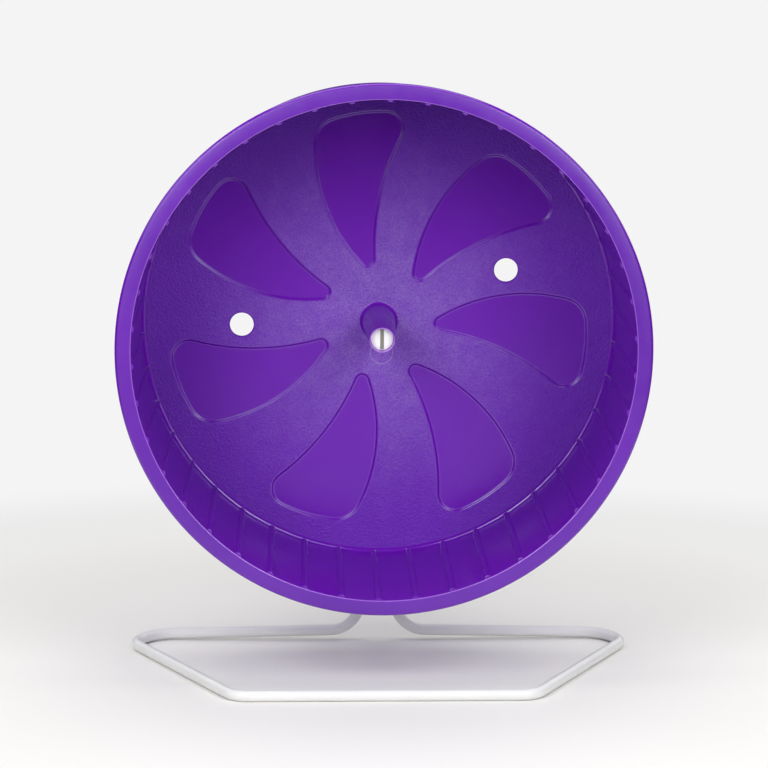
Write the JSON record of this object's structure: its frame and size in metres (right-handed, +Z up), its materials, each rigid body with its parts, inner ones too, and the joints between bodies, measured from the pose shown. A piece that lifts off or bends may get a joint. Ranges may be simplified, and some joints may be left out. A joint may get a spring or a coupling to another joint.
{
  "type": "rodent exercise wheel",
  "caption": "Moulded rodent running wheel, open at the front, with ribbed track, swirl disc and long hub, turning on a screw axle held by a bent rod stand.",
  "frame": {"origin": "on the floor, at the middle of the bounding box", "axes": "+Z up, +X to the right of someone who looks into the open drum, +Y away from them along the axle"},
  "size_m": [0.28, 0.1622, 0.3203],
  "materials": {
    "violet_plastic": "glossy petals and track, finely grained disc",
    "white_coat": "white powder coat",
    "zinc_plate": "bright zinc plate",
    "bush_plastic": "natural acetal"
  },
  "bodies": {
    "stand": {"stand_frame": "white_coat", "axle_boss": "white_coat", "weld_beads": "white_coat", "axle_screw": "zinc_plate", "axle_sleeve": "zinc_plate", "front_washer": "zinc_plate", "rear_washer": "zinc_plate", "lock_washer": "zinc_plate", "lock_nut": "zinc_plate"},
    "wheel": {"wheel_drum": "violet_plastic", "front_bush": "bush_plastic", "rear_bush": "bush_plastic"}
  },
  "joints": [
    {"name": "wheel_spin", "type": "hinge", "parent": "stand", "child": "wheel", "pos_m": [0, 0, 0.1803], "axis": [0, 1, 0], "continuous": true}
  ]
}
